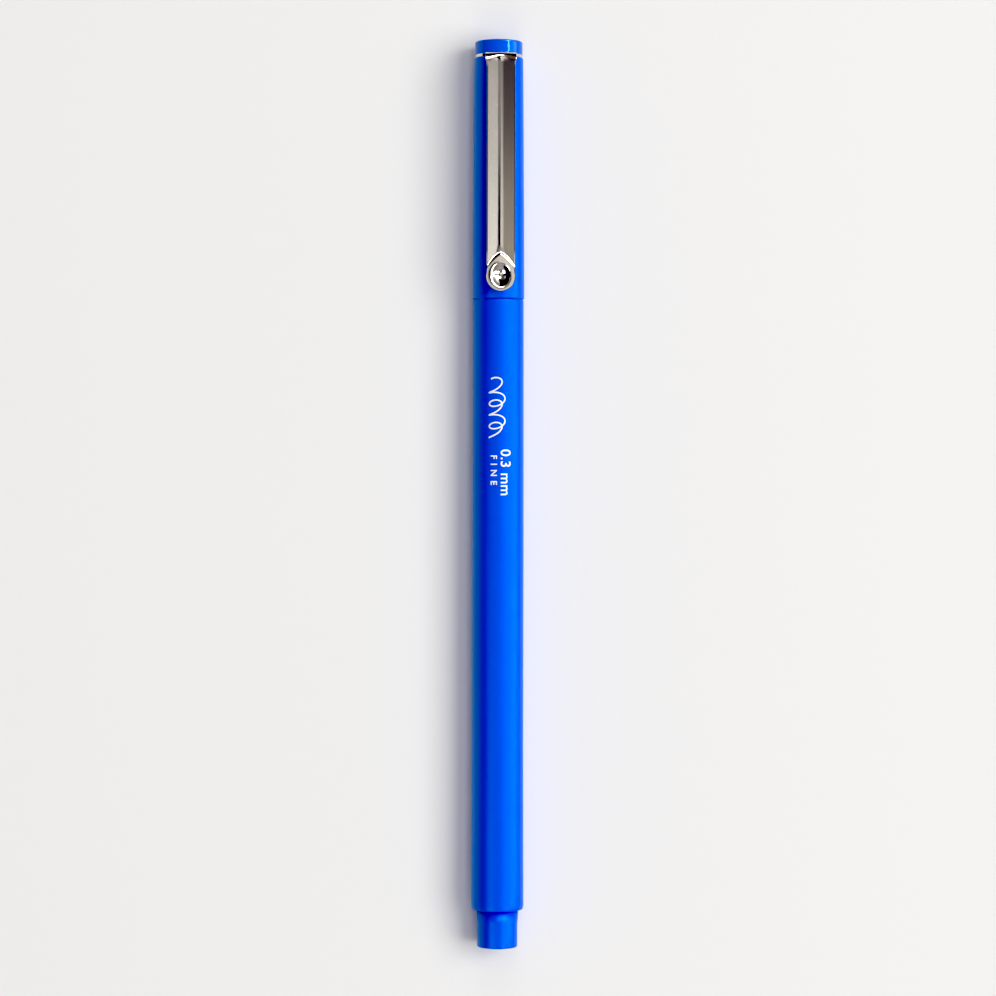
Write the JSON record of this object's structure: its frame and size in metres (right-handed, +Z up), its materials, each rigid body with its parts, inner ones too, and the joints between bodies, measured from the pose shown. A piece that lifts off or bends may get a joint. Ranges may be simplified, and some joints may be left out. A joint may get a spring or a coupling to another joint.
{
  "type": "capped fineliner pen",
  "caption": "Slim round fineliner pen lying on its side, capped, with a steel pocket clip on top and a stepped tail plug.",
  "frame": {"origin": "on the table the pen lies on, under the middle of its length, on its centre line", "axes": "+X along the pen towards the crown of the cap, +Z up through the pocket clip, +Y to the pen's side"},
  "size_m": [0.1416, 0.0082, 0.0095],
  "materials": {
    "barrel_plastic": "satin moulded polypropylene, saturated blue",
    "cap_plastic": "satin moulded polypropylene, saturated blue",
    "section_plastic": "satin moulded polypropylene, saturated blue",
    "tail_plastic": "satin moulded polypropylene, saturated blue",
    "crown_plastic": "polished moulded plastic, saturated blue",
    "liner_plastic": "soft moulded polyethylene, natural white",
    "clip_steel": "bright nickel-plated spring steel",
    "sleeve_steel": "drawn stainless steel tube",
    "nib_fibre": "extruded acetal rod, stained with ink",
    "reservoir_fibre": "bundled polyester fibre, soaked with ink",
    "reservoir_film": "thin clear film"
  },
  "bodies": {
    "pen": {"barrel": "barrel_plastic", "front_section": "section_plastic", "nib_sleeve": "sleeve_steel", "nib": "nib_fibre", "ink_reservoir": "reservoir_fibre", "reservoir_film": "reservoir_film", "tail_plug": "tail_plastic"},
    "cap": {"cap_tube": "cap_plastic", "inner_cap": "liner_plastic", "crown": "crown_plastic", "clip_collar": "clip_steel"},
    "clip": {"clip_arm": "clip_steel"}
  },
  "joints": [
    {"name": "cap_slide", "type": "slide", "parent": "pen", "child": "cap", "axis": [1, 0, 0], "range_m": [0, 0.05]},
    {"name": "clip_flex", "type": "hinge", "parent": "cap", "child": "clip", "pos_m": [0.06739, 0, 0.00824], "axis": [0, 1, 0], "range_deg": [0, 3.5], "stiffness_Nm_per_rad": 2.4, "springref_deg": -0.86}
  ]
}
